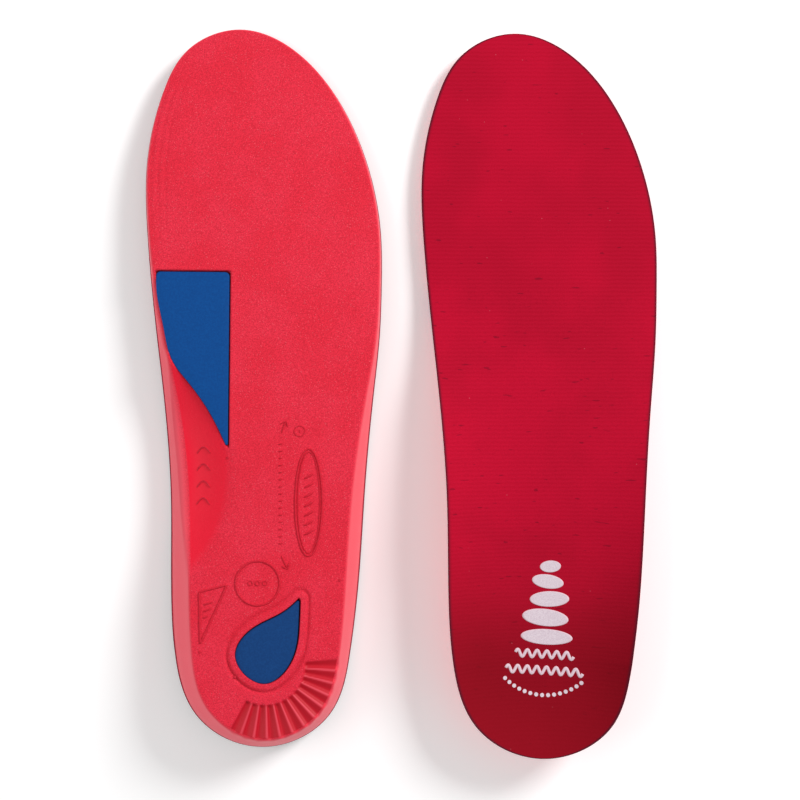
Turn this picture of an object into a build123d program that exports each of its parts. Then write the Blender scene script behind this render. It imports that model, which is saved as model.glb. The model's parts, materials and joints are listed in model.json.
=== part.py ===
from build123d import *

import os

import numpy as np

# A pair of full-length cushioned insoles of moulded foam, lying side by side with their toes
# towards +Y: the right one sole down as it is worn, the left one turned over on its top cover.
# Each is a laminate of a foam shell, a thin cushion backing and a fabric top cover, with two soft
# plugs bonded into pockets in the underside and a motif printed on the cover over the heel.
#
# One insole is drawn in its own frame, in millimetres: x to the outer (little toe) side, y from
# the back of the heel to the toe, z up, with the flat underside at z = 0. The right insole is
# that shape. The left one is its reflection in z, tilted until it rests on three points of the
# rim of its cover. The pair's own origin is at the middle of its box, on the surface it lies on.

# ---- the laminate ------------------------------------------------------------------------------
FABRIC = 0.8
BACKING = 1.2
PRINT_THICK = 0.15

# ---- plan shape and heights --------------------------------------------------------------------
LENGTH = 265.0
HEEL_TIP = (0.5, 0.0)
TOE_TIP = (-9.0, LENGTH)
HEEL_TIP_INSET = 4.9  # how far the underside stops short of the outline at the back of the heel
TOE_TIP_INSET = 0.8
# Across the insole at each y: the inner and the outer edge of the outline, the height of the top
# on the middle line, at the inner rim and at the outer rim, and how far the underside's edge
# stops short of the outline on the inner and on the outer side.
STATIONS = np.array(
    [
        (12.0, -24.6, 25.0, 8.0, 18.5, 18.5, 7.0, 4.5),
        (34.0, -32.4, 32.1, 8.0, 18.5, 18.5, 7.6, 4.2),
        (60.0, -34.2, 35.2, 8.3, 19.0, 17.5, 8.0, 5.0),
        (95.0, -34.8, 37.5, 9.4, 19.5, 15.5, 7.4, 4.8),
        (130.0, -37.3, 40.5, 7.8, 14.0, 10.0, 5.2, 2.6),
        (152.0, -39.5, 42.6, 5.9, 8.0, 6.4, 2.6, 1.2),
        (170.0, -41.3, 43.2, 5.1, 5.4, 5.1, 1.3, 0.9),
        (190.0, -43.0, 42.8, 5.0, 5.0, 5.0, 0.9, 0.8),
        (214.0, -43.4, 38.2, 5.0, 5.0, 5.0, 0.8, 0.8),
        (240.0, -38.2, 26.6, 5.0, 5.0, 5.0, 0.8, 0.8),
        (256.0, -29.8, 12.8, 5.0, 5.0, 5.0, 0.8, 0.8),
    ]
)
INNER_X, OUTER_X, MIDDLE_H, INNER_H, OUTER_H, INNER_INSET, OUTER_INSET = range(1, 8)
CUP_CENTRE_Y = 34.0  # behind this the heel cup closes round in a half ellipse
CUP_POWER = 2.6  # how flat the middle is before the top sweeps up to the rim
BLANK_HEIGHT = 32.0  # the tapered blank that the laminate is cut from
CEILING = 130.0
# the top surface is drawn a little past the outline, from lines across it at these y
REACH_X = 52.0
LINE_POINTS = 13
LINES_AT = [-6, 2, 9, 17, 26, 34, 47, 60, 77, 95, 112, 130, 141, 152, 161, 170, 190, 230, 272]

# ---- the flex line at the ball of the foot -----------------------------------------------------
FLEX_POINT = (0.0, 178.0)
FLEX_ANGLE = -13.0  # degrees: the line runs back towards the outer side
FOREFOOT_THICK = 5.0
FLEX_CLEARANCE = 0.4  # the hinge axis stands this far off the face that it folds towards
FAR = 400.0

# ---- plugs and their pockets -------------------------------------------------------------------
PLUG_GAP = 0.3
PLUG_RECESS = 0.25
BOND_GAP = 0.1
RAY_DEPTH = 2.2
HEEL_DEPTH = 4.0
RAY_FRONT_Y = 174.0
RAY_OUTER_X = -12.0
RAY_TIP = (-12.2, 109.5)
RAY_INNER_EDGE = [(-19.6, 122.4), (-27.3, 133.2), (-33.2, 141.2), (-36.6, 153.7), (-39.2, 167.0)]
RAY_INNER_CORNER = (-39.4, RAY_FRONT_Y)
HEEL_PLUG_TIP = (14.2, 56.5)
HEEL_PLUG_EDGE = [(13.9, 46.5), (11.3, 33.1), (1.1, 24.7), (-9.6, 35.0), (-3.8, 44.6), (7.6, 50.8)]

# ---- arch hollow, heel flutes and moulded marks in the underside -------------------------------
HOLLOW_CENTRE = (-32.0, 90.0, -8.0)
HOLLOW_RADII = (27.0, 44.0, 12.0)
FLUTE_CENTRE = (1.0, 35.3)
FLUTE_COUNT = 12
FLUTE_FIRST, FLUTE_LAST = 7.5, -112.5  # degrees, from the outer side round to the back
FLUTE_START = 16.2
FLUTE_LENGTH = 30.0
FLUTE_RADIUS = 1.6
FLUTE_DEPTH = 0.6
MARK_DEPTH = 0.4
MARK_WIDTH = 0.8
SIZE_RING = (-1.5, 60.8, 7.9)  # x, y, radius
SMALL_RING = (13.3, 115.6, 2.0)
OVAL_RING = (16.7, 89.8, 4.9, 19.3)  # x, y, half width, half length
TRIANGLE = [(-12.5, 60.2), (-22.4, 57.7), (-21.8, 39.3)]

# ---- motif printed over the heel: a stack of pebbles, two waves and a dotted arc ----------------
PRINT_CENTRE = (2.0, 46.0)
PRINT_TURN = -3.5  # degrees
PEBBLES = [  # x, y, half length, half thickness and slope in degrees, about the print's centre
    (0.2, 22.4, 3.9, 2.2, 6.0),
    (-0.4, 16.8, 5.9, 2.6, -5.0),
    (0.6, 10.4, 7.3, 2.9, 4.0),
    (-0.5, 3.5, 8.6, 3.2, -3.0),
    (0.4, -3.6, 9.6, 2.9, 0.0),
]
WAVES = [(0.0, -10.0, 21.6, 6), (0.2, -15.9, 28.4, 8)]  # x, y, length, crests
WAVE_HEIGHT = 1.3
WAVE_THICK = 1.2
DOT_ARC = (0.0, -4.4, 20.5, 43.0)  # x, y, radius and half angle
DOT_COUNT = 15
DOT_RADIUS = 0.75

# ---- how the pair lies -------------------------------------------------------------------------
SPACING = 101.4  # between the y axes of the two insoles
LEFT_AHEAD = 3.0  # the left one lies this much further forward
# the three points of the left insole's rim that touch what it lies on: at the toe, inside the
# arch and outside the midfoot
REST_POINTS = [(6.5, 260.3), (-34.9, 94.0), (37.1, 88.0)]


def along(y, column):
    """A column of the stations at y, by cubic pieces whose slope at a station is its chord's."""
    ys, v = STATIONS[:, 0], STATIONS[:, column]
    y = np.clip(y, ys[0], ys[-1])
    slope = np.gradient(v, ys)
    i = np.clip(np.searchsorted(ys, y) - 1, 0, len(ys) - 2)
    step = ys[i + 1] - ys[i]
    t = (y - ys[i]) / step
    rise = v[i + 1] - v[i]
    turn_in = slope[i] * step - rise
    turn_out = rise - slope[i + 1] * step
    return v[i] + t * rise + t * (1 - t) * ((1 - t) * turn_in + t * turn_out)


def top_height(x, y):
    """Height of the finished top: the middle line's height, rising to each rim as a power of the
    distance across, and behind the cup's centre as a power of the distance out from it."""
    level = np.maximum(y, CUP_CENTRE_Y)
    inner, outer = along(level, INNER_X), along(level, OUTER_X)
    middle = (inner + outer) / 2
    across = 2 * (x - middle) / (outer - inner)
    out = np.hypot(across, np.minimum(y - CUP_CENTRE_Y, 0) / CUP_CENTRE_Y)
    low = along(level, MIDDLE_H)
    rim = np.where(across < 0, along(level, INNER_H), along(level, OUTER_H))
    return low + (rim - low) * out**CUP_POWER


def edge_points():
    """Points round the outline, from the toe tip down the inner side and back up the outer, each
    with the direction out of the insole and the inset of the underside's edge there."""
    inner = [(r[INNER_X], r[0], r[INNER_INSET]) for r in STATIONS[::-1]]
    outer = [(r[OUTER_X], r[0], r[OUTER_INSET]) for r in STATIONS]
    ring = np.array([(*TOE_TIP, TOE_TIP_INSET), *inner, (*HEEL_TIP, HEEL_TIP_INSET), *outer])
    xy = ring[:, :2]
    run = np.roll(xy, -1, axis=0) - np.roll(xy, 1, axis=0)
    run /= np.linalg.norm(run, axis=1)[:, None]
    out = np.stack([run[:, 1], -run[:, 0]], axis=1)
    return xy, out, ring[:, 2]


def closed_edge(xy, z):
    """A smooth closed line through the points, as four lengths that join end to end."""
    whole = Spline([(x, y, z) for x, y in xy], periodic=True)
    return Wire([whole.trim(i / 4, (i + 1) / 4) for i in range(4)])


def blank():
    """The outer form: walls that lean outwards from the underside's edge through the outline at
    the height of the rim."""
    xy, out, inset = edge_points()
    foot = xy - out * inset[:, None]
    lean = BLANK_HEIGHT / top_height(xy[:, 0], xy[:, 1])
    head = foot + (xy - foot) * lean[:, None]
    return Solid.make_loft([closed_edge(foot, 0), closed_edge(head, BLANK_HEIGHT)], ruled=True)


def above_top(drop):
    """Everything above the top surface lowered by drop: smooth lines across the insole, joined by
    ruled strips."""
    xs = np.linspace(-REACH_X, REACH_X, LINE_POINTS)
    sections = []
    for y in LINES_AT:
        heights = top_height(xs, np.full_like(xs, y)) - drop
        line = [(float(x), y, float(z)) for x, z in zip(xs, heights)]
        roof = Polyline(line[-1], (REACH_X, y, CEILING), (-REACH_X, y, CEILING), line[0])
        sections.append(Wire([Spline(line), *roof.edges()]))
    return Solid.make_loft(sections, ruled=True)


def drawn_in(points, gap):
    """The points moved towards the middle of their box, so that its sides come in by gap."""
    points = np.array(points)
    low, high = points.min(axis=0), points.max(axis=0)
    middle = (low + high) / 2
    return [tuple(p) for p in (middle + (points - middle) * (1 - 2 * gap / (high - low))).tolist()]


def ray_outline(gap=0.0):
    corner = (RAY_OUTER_X, RAY_FRONT_Y)
    front, outer, *edge = drawn_in([RAY_INNER_CORNER, corner, RAY_TIP, *RAY_INNER_EDGE], gap)
    return make_face([Line(front, outer), Line(outer, edge[0]), Spline([*edge, front])])


def heel_outline(gap=0.0):
    tip, *edge = drawn_in([HEEL_PLUG_TIP, *HEEL_PLUG_EDGE], gap)
    return make_face([Spline([tip, *edge, tip])])


def plug(outline, depth):
    """A plug sits a little below the underside and just clear of its pocket's roof."""
    return Pos(0, 0, PLUG_RECESS) * extrude(outline, depth - PLUG_RECESS - BOND_GAP)


def flutes():
    """Round-bottomed grooves that fan out from under the heel to the back and outer edge."""
    cut = []
    for turn in np.linspace(FLUTE_FIRST, FLUTE_LAST, FLUTE_COUNT):
        groove = Cylinder(FLUTE_RADIUS, FLUTE_LENGTH, align=(Align.CENTER, Align.CENTER, Align.MIN))
        level = FLUTE_DEPTH - FLUTE_RADIUS
        place = Pos(*FLUTE_CENTRE, level) * Rot(0, 0, float(turn)) * Pos(FLUTE_START, 0, 0)
        cut.append(place * Rot(0, 90, 0) * groove)
    return cut


def outline_of(face):
    """The band of the mark's line width just inside a face's edge."""
    return face - offset(face, -MARK_WIDTH)


def marks():
    x, y, radius = SIZE_RING
    sx, sy, small = SMALL_RING
    ox, oy, wide, long = OVAL_RING
    bands = [
        Pos(x, y) * outline_of(Circle(radius)),
        Pos(sx, sy) * outline_of(Circle(small)),
        Pos(ox, oy) * (Ellipse(wide, long) - Ellipse(wide - MARK_WIDTH, long - MARK_WIDTH)),
        outline_of(make_face([Polyline(*TRIANGLE, close=True)])),
    ]
    return [extrude(band, MARK_DEPTH) for band in bands]


def arch_hollow():
    return Pos(*HOLLOW_CENTRE) * scale(Sphere(1), by=HOLLOW_RADII)


def wave(x, y, length, crests):
    """A ribbon along a sine line, with square ends."""
    t = np.linspace(-0.5, 0.5, crests * 4 + 1)
    rise = WAVE_HEIGHT * np.sin(2 * np.pi * crests * t)
    upper = [(x + length * a, y + b + WAVE_THICK / 2) for a, b in zip(t, rise)]
    lower = [(a, b - WAVE_THICK) for a, b in reversed(upper)]
    return make_face([Spline(upper), Line(upper[-1], lower[0]), Spline(lower), Line(lower[-1], upper[0])])


def motif():
    """Flat outlines of the printed motif, about the origin."""
    shapes = [Pos(x, y) * Rot(0, 0, slope) * Ellipse(long, thick) for x, y, long, thick, slope in PEBBLES]
    shapes += [wave(*row) for row in WAVES]
    x, y, radius, half = DOT_ARC
    for turn in np.radians(np.linspace(-half, half, DOT_COUNT)):
        shapes.append(Pos(x + radius * np.sin(turn), y - radius * np.cos(turn)) * Circle(DOT_RADIUS))
    return shapes


def heel_print():
    """The motif as a thin film that follows the cover."""
    film = above_top(0) - above_top(-PRINT_THICK)
    place = Pos(*PRINT_CENTRE) * Rot(0, 0, PRINT_TURN)
    return Compound([film & extrude(place * shape, BLANK_HEIGHT) for shape in motif()])


def toe_zone():
    """A box that holds everything forward of the flex line."""
    half_space = Box(FAR, FAR, FAR, align=(Align.CENTER, Align.MIN, Align.CENTER))
    return Pos(*FLEX_POINT, 0) * Rot(0, 0, FLEX_ANGLE) * half_space


def one_insole():
    """The named solids of one insole in its own frame."""
    form = blank()
    over_cover = above_top(0)
    over_backing = above_top(FABRIC)
    over_shell = above_top(FABRIC + BACKING)
    layers = {
        "foam_shell": form - over_shell,
        "cushion_backing": (form & over_shell) - over_backing,
        "top_cover": (form & over_backing) - over_cover,
    }
    zone = toe_zone()
    made = {}
    for name, layer in layers.items():
        made[name] = layer - zone
        made[name + "_toe"] = layer & zone
    pockets = [extrude(ray_outline(), RAY_DEPTH), extrude(heel_outline(), HEEL_DEPTH)]
    for tool in [arch_hollow(), *pockets, *flutes(), *marks()]:
        made["foam_shell"] = made["foam_shell"] - tool
    made["first_ray_plug"] = plug(ray_outline(PLUG_GAP), RAY_DEPTH)
    made["heel_plug"] = plug(heel_outline(PLUG_GAP), HEEL_DEPTH)
    made["heel_print"] = heel_print()
    return made


def turned_over():
    """Where the left insole's own frame goes: tilted so that the three rest points, reflected in
    z, are level, and raised until they are at z = 0."""
    low = [np.array([x, y, -float(top_height(np.array(x), np.array(y)))]) for x, y in REST_POINTS]
    up = np.cross(low[1] - low[0], low[2] - low[0])
    up *= np.sign(up[2]) / np.linalg.norm(up)
    side = np.cross((0, 1, 0), up)
    side /= np.linalg.norm(side)
    ahead = np.cross(up, side)
    turn = np.array([side, ahead, up]).T.tolist()
    lift = -min(float(up @ p) for p in low)
    return Plane(origin=(0, LEFT_AHEAD, lift), x_dir=turn[0], z_dir=turn[2]).location


def corners(shapes):
    """Lowest and highest corner of the shapes, from their tessellated faces."""
    points = np.array([tuple(v) for shape in shapes for v in shape.tessellate(0.05)[0]])
    return points.min(axis=0), points.max(axis=0)


def flex_axis(place, height):
    """A point on the flex hinge's axis and its direction, in the pair's frame."""
    turn = np.radians(FLEX_ANGLE)
    here = place * Pos(*FLEX_POINT, height)
    there = here * Pos(np.cos(turn), np.sin(turn), 0)
    return here.position, there.position - here.position


def main():
    os.makedirs("parts", exist_ok=True)
    drawn = one_insole()
    right_place = Location((SPACING, 0, 0))
    left_place = turned_over()
    nodes = {"right_" + name: right_place * shape for name, shape in drawn.items()}
    nodes |= {"left_" + name: left_place * mirror(shape, Plane.XY) for name, shape in drawn.items()}
    low, high = corners(nodes.values())
    centre = (low + high) / 2
    shift = Location((-centre[0], -centre[1], 0))
    for name, shape in nodes.items():
        export_step(shift * shape, f"parts/{name}.step")
    print("size", (high - low).round(2), "lowest", low[2].round(3))
    print("right flex axis", flex_axis(shift * right_place, FOREFOOT_THICK + FLEX_CLEARANCE))
    print("left flex axis", flex_axis(shift * left_place, FLEX_CLEARANCE))
    print("right frame", shift * right_place)
    print("left frame", shift * left_place)


main()
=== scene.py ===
import json

import bpy
import numpy as np
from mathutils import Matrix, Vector


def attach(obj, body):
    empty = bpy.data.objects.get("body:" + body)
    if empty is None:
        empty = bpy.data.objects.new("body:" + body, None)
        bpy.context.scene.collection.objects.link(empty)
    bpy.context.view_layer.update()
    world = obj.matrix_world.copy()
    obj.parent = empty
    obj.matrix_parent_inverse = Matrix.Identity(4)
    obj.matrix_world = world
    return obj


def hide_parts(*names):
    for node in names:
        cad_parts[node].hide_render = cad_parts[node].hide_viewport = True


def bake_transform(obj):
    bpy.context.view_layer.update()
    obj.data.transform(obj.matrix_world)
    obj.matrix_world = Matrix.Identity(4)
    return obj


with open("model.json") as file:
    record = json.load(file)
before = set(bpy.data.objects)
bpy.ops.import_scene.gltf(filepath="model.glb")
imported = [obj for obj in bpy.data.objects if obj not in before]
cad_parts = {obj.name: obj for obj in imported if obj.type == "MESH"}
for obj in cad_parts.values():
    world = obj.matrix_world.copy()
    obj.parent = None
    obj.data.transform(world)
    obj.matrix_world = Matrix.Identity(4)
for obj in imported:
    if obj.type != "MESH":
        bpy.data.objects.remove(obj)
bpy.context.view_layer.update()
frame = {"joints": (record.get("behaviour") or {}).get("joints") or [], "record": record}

# A pair of moulded foam insoles. The right one lies sole down, the left one is turned over.
# Each is drawn in its own frame, in millimetres: x to the little toe side, y from heel to toe,
# z up, with the underside at z = 0. The left one is that shape reflected in z. Where each frame
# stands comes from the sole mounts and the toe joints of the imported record.

MM = 0.001
SIDES = ("right", "left")

# ---- one insole's form, in millimetres ----------------------------------------------------------
TOE_TIP, HEEL_TIP = (-9.0, 265.0), (0.5, 0.0)
TOE_TIP_INSET, HEEL_TIP_INSET = 0.8, 4.9
# Across the insole at each y: the inner and outer edge, the height of the top on the middle line,
# at the inner and at the outer rim, and the inset of the underside's inner and outer edge.
STATIONS = np.array(
    [
        (12.0, -24.6, 25.0, 8.0, 18.5, 18.5, 7.0, 4.5),
        (34.0, -32.4, 32.1, 8.0, 18.5, 18.5, 7.6, 4.2),
        (60.0, -34.2, 35.2, 8.3, 19.0, 17.5, 8.0, 5.0),
        (95.0, -34.8, 37.5, 9.4, 19.5, 15.5, 7.4, 4.8),
        (130.0, -37.3, 40.5, 7.8, 14.0, 10.0, 5.2, 2.6),
        (152.0, -39.5, 42.6, 5.9, 8.0, 6.4, 2.6, 1.2),
        (170.0, -41.3, 43.2, 5.1, 5.4, 5.1, 1.3, 0.9),
        (190.0, -43.0, 42.8, 5.0, 5.0, 5.0, 0.9, 0.8),
        (214.0, -43.4, 38.2, 5.0, 5.0, 5.0, 0.8, 0.8),
        (240.0, -38.2, 26.6, 5.0, 5.0, 5.0, 0.8, 0.8),
        (256.0, -29.8, 12.8, 5.0, 5.0, 5.0, 0.8, 0.8),
    ]
)
INNER_X, OUTER_X, MIDDLE_H, INNER_H, OUTER_H, INNER_INSET, OUTER_INSET = range(1, 8)
CUP_CENTRE_Y = 34.0
CUP_POWER = 2.6
FABRIC, BACKING = 0.8, 1.2
MOUNT_POINT = np.array([0.0, 150.0, 0.0])  # the sole mounts' place in an insole's own frame
FLEX_ANGLE = np.radians(-13.0)
FLEX_BEFORE, FLEX_AFTER = 4.0, 30.0  # the bend reaches this far behind and ahead of its axis

# ---- plugs ---------------------------------------------------------------------------------------
RAY_CORNERS = [(-39.4, 174.3), (-11.9, 174.3), (-12.0, 107.0)]
RAY_INNER_EDGE = [(-19.6, 122.4), (-27.3, 133.2), (-33.2, 141.2), (-36.6, 153.7), (-39.2, 167.0)]
HEEL_PLUG_TIP = (14.2, 56.5)
HEEL_PLUG_EDGE = [(13.9, 46.5), (11.3, 33.1), (1.1, 24.7), (-9.6, 35.0), (-3.8, 44.6), (7.6, 50.8)]
RAY_DEPTH, HEEL_DEPTH = 2.1, 3.8
PLUG_GAP, PLUG_RECESS, PLUG_ROUND, PLUG_CROWN, PLUG_SHIFT = 0.4, 0.35, 0.35, 0.12, (-0.2, -0.2)
RAY_RADII, HEEL_RADII, POCKET_RADIUS = (0.9, 2.0, 2.2), (1.0,), 0.6

# ---- detail in the underside ---------------------------------------------------------------------
HOLLOW_CENTRE, HOLLOW_REACH, HOLLOW_DEPTH, HOLLOW_SLOPE = (-38.0, 101.0), (29.0, 45.0), 6.0, 1.6
FAN_CENTRE, FAN_START, FAN_COUNT = (1.5, 31.5), 13.6, 12
FAN_FIRST, FAN_LAST = 6.0, -120.0  # degrees from the line to the little toe side
FAN_DEPTH, FAN_LEAST, FAN_EASE = 1.15, 0.1, 1.2
LEAF_FALL, LEAF_RISE, LEAF_RIDGE, LEAF_END = 1.5, 3.2, 5.5, 4
RING_GROOVE_OUT, RING_GROOVE_WIDTH, RING_GROOVE_DEPTH = 2.8, 0.6, 0.7
HEEL_LIP, HEEL_LIP_OUT, HEEL_LIP_EASE = 0.3, 2.6, 0.7
RAY_LIP, RAY_LIP_OUT, RAY_LIP_WIDTH = 0.18, 0.5, 0.45
POCKET_WALL, POCKET_SHADE, GROOVE_SHADE, GROOVE_SHADE_WIDTH = 0.6, 0.4, 0.3, 0.45
# Faint lines that the foam's flow leaves along the inner edge of the toe end.
FLOW_DEPTH, FLOW_PITCH, FLOW_WIDTH, FLOW_BAND = 0.28, 2.6, 0.35, 9.5
FLOW_START, FLOW_END = 178, 250
# The rounded edge of the underside: its radius grows with how far the wall flares.
EDGE_LEAST, EDGE_SHARE, EDGE_MOST = 0.35, 0.45, 0.9
WALL_SWELL = 0.16

# ---- mesh density --------------------------------------------------------------------------------
ROWS, SOLE_COLUMNS, COVER_COLUMNS, HIDDEN_COLUMNS = 540, 150, 96, 10


def along(y, column):
    """A column of the stations at y: cubic pieces whose slope at a station is its chord's."""
    ys, v = STATIONS[:, 0], STATIONS[:, column]
    y = np.clip(y, ys[0], ys[-1])
    slope = np.gradient(v, ys)
    i = np.clip(np.searchsorted(ys, y) - 1, 0, len(ys) - 2)
    step = ys[i + 1] - ys[i]
    t = (y - ys[i]) / step
    rise = v[i + 1] - v[i]
    turn_in = slope[i] * step - rise
    turn_out = rise - slope[i + 1] * step
    return v[i] + t * rise + t * (1 - t) * ((1 - t) * turn_in + t * turn_out)


def top_height(x, y):
    """Height of the finished top: the middle line's height, rising to each rim as a power of the
    distance across, and behind the cup's centre as a power of the distance out from it."""
    level = np.maximum(y, CUP_CENTRE_Y)
    inner, outer = along(level, INNER_X), along(level, OUTER_X)
    across = 2 * (x - (inner + outer) / 2) / (outer - inner)
    out = np.hypot(across, np.minimum(y - CUP_CENTRE_Y, 0) / CUP_CENTRE_Y)
    low = along(level, MIDDLE_H)
    rim = np.where(across < 0, along(level, INNER_H), along(level, OUTER_H))
    return low + (rim - low) * out**CUP_POWER


def closed_curve(points, step=None):
    """A function of 0..1 that runs smoothly through the points and back to the first: cubic pieces
    over the chord lengths, with slope and curvature that match at every point."""
    p = np.asarray(points, float)
    n = len(p)
    ahead = np.roll(p, -1, axis=0)
    step = np.linalg.norm(ahead - p, axis=1) if step is None else step
    before = np.roll(step, 1)
    k = np.arange(n)
    system = np.diag(2 * (before + step))
    system[k, k - 1] += before
    system[k, (k + 1) % n] += step
    slope = (ahead - p) / step[:, None]
    bend = np.linalg.solve(system, 6 * (slope - np.roll(slope, 1, axis=0)))
    ends = np.cumsum(step)

    def at(s):
        t = np.mod(s, 1.0) * ends[-1]
        i = np.minimum(np.searchsorted(ends, t, side="right"), n - 1)
        j = (i + 1) % n
        h = step[i][:, None]
        u = t[:, None] - (ends[i] - step[i])[:, None]
        w = h - u
        lift = (bend[i] * w**3 + bend[j] * u**3) / (6 * h)
        return lift + (p[i] / h - bend[i] * h / 6) * w + (p[j] / h - bend[j] * h / 6) * u

    at.ends = ends / ends[-1]
    at.step = step
    return at


def outline_and_foot():
    """The outline at the rim and the underside's edge, as two closed curves over one parameter
    that starts at the toe tip and runs down the inner side, and the parameter at the heel tip."""
    inner = [(r[INNER_X], r[0], r[INNER_INSET]) for r in STATIONS[::-1]]
    outer = [(r[OUTER_X], r[0], r[OUTER_INSET]) for r in STATIONS]
    ring = np.array([(*TOE_TIP, TOE_TIP_INSET), *inner, (*HEEL_TIP, HEEL_TIP_INSET), *outer])
    xy = ring[:, :2]
    run = np.roll(xy, -1, axis=0) - np.roll(xy, 1, axis=0)
    run /= np.linalg.norm(run, axis=1)[:, None]
    foot = xy - np.stack([run[:, 1], -run[:, 0]], axis=1) * ring[:, 2:]
    rim = closed_curve(xy)
    return rim, closed_curve(foot, rim.step), rim.ends[len(STATIONS)]


RIM, FOOT, HEEL_AT = outline_and_foot()


def ring_parameters(rows):
    """Outline parameters of a mesh's edge: toe tip, inner side, heel tip, outer side, 2 x rows."""
    down = HEEL_AT * np.arange(rows + 1) / rows
    up = 1 - (1 - HEEL_AT) * np.arange(rows - 1, 0, -1) / rows
    return np.concatenate([down, up])


def wall_point(s, z):
    """Point of the side wall at height z: straight from the underside's edge to the rim, with a
    slight swell half way up."""
    rim, foot = RIM(s), FOOT(s)
    height = top_height(rim[:, 0], rim[:, 1])
    t = z / height
    swell = 1 + WALL_SWELL * np.sin(np.pi * np.clip(t, 0, 1))
    xy = foot + (rim - foot) * (t * swell)[:, None]
    return np.column_stack([xy, z])


def rim_below(s, drop):
    """Edge of the layer that lies drop below the top: where the wall meets it, found by stepping
    the height down from the rim until the two agree."""
    rim = RIM(s)
    z = top_height(rim[:, 0], rim[:, 1]) - drop
    for _ in range(8):
        point = wall_point(s, z)
        z = top_height(point[:, 0], point[:, 1]) - drop
    return wall_point(s, z)


def across(ring, columns):
    """Grid of (x, y) between the inner and the outer side of a ring, in straight rows."""
    rows = len(ring) // 2
    inner = ring[: rows + 1, None, :2]
    outer = np.concatenate([ring[:1], ring[:rows - 1:-1]])[:, None, :2]
    t = np.linspace(0, 1, columns + 1)[None, :, None]
    return inner + (outer - inner) * t


# ---- putting meshes together ---------------------------------------------------------------------
class Build:
    """Points, faces and point attributes of one mesh, gathered patch by patch."""

    def __init__(self):
        self.points, self.faces, self.marks, self.count = [], [], {}, 0

    def add(self, points, faces, **marks):
        """Adds a patch: its faces count its own points, and marks are values at its points."""
        n = len(points)
        self.points.append(points)
        self.faces += [(np.asarray(f) + self.count).tolist() for f in faces]
        for name in set(self.marks) | set(marks):
            have = self.marks.setdefault(name, [np.zeros(self.count)])
            have.append(np.broadcast_to(np.asarray(marks.get(name, 0.0), float), (n,)))
        self.count += n

    def object(self, name, side):
        """The mesh in its insole's place, in metres. The left insole is reflected in z, so its
        faces run the other way round."""
        points = placed(np.concatenate(self.points), side)
        faces = [f[::-1] if side == "left" else f for block in self.faces for f in block]
        mesh = bpy.data.meshes.new(name)
        mesh.from_pydata(points.tolist(), [], faces)
        mesh.shade_smooth()
        for mark, values in self.marks.items():
            layer = mesh.attributes.new(mark, "FLOAT", "POINT")
            layer.data.foreach_set("value", np.concatenate(values).astype(np.float32))
        thing = bpy.data.objects.new(name, mesh)
        bpy.context.scene.collection.objects.link(thing)
        return thing


def insole_frames():
    """Origin and three axes of each insole's own frame, in metres, from its sole mount (a point
    and the direction out of the sole) and the direction of its toe joint."""
    mounts = {m["name"]: m for m in frame["record"]["mounts"]}
    joints = {j["name"]: j for j in frame["joints"]}
    frames = {}
    for side in SIDES:
        mount = mounts[side + "_sole"]
        up = np.array(mount["axis"], float) * (-1 if side == "right" else 1)
        up /= np.linalg.norm(up)
        flex = np.array(joints[side + "_toe_flex"]["axis"], float)
        square = np.cross(up, flex)
        x_axis = np.cos(FLEX_ANGLE) * flex - np.sin(FLEX_ANGLE) * square
        x_axis -= up * (x_axis @ up)
        x_axis /= np.linalg.norm(x_axis)
        axes = np.array([x_axis, np.cross(up, x_axis), up])
        origin = np.array(mount["pos_m"], float) - MM * MOUNT_POINT @ axes
        frames[side] = (origin, axes)
    return frames


FRAMES = insole_frames()


def placed(points, side):
    """Points of an insole's own frame, in millimetres, to the pair's frame in metres."""
    origin, axes = FRAMES[side]
    turned = points * np.array([1.0, 1.0, -1.0 if side == "left" else 1.0])
    return origin + MM * turned @ axes


def grid_patch(grid, up):
    """Points and faces of a grid whose first and last rows each shrink to one point, and the
    order of its edge points, from the first row's point down the first column and back up."""
    rows, columns = grid.shape[0] - 1, grid.shape[1]
    points = np.concatenate([grid[:1, 0], grid[1:rows].reshape(-1, 3), grid[rows:, 0]])
    index = np.arange((rows - 1) * columns).reshape(rows - 1, columns) + 1
    last = len(points) - 1
    a, b, c, d = index[:-1, :-1], index[1:, :-1], index[1:, 1:], index[:-1, 1:]
    quads = np.stack([a, b, c, d], axis=-1).reshape(-1, 4)
    zero = np.zeros(columns - 1, int)
    first_fan = np.stack([zero, index[0, :-1], index[0, 1:]], axis=-1)
    last_fan = np.stack([index[-1, :-1], zero + last, index[-1, 1:]], axis=-1)
    faces = [quads, first_fan, last_fan]
    if not up:
        faces = [f[:, ::-1] for f in faces]
    edge = np.concatenate([[0], index[:, 0], [last], index[::-1, -1]])
    return points, faces, edge


def over_patch(values):
    """A grid's values in the order in which grid_patch lists its points."""
    rows = len(values) - 1
    return np.concatenate([values[:1, 0], values[1:rows].reshape(-1), values[rows:, 0]])


def strip_faces(upper, lower):
    """Faces between two closed rings of point numbers, facing outwards when the rings run
    anticlockwise as seen from the upper side."""
    return np.stack([upper, lower, np.roll(lower, -1), np.roll(upper, -1)], axis=-1)


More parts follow.
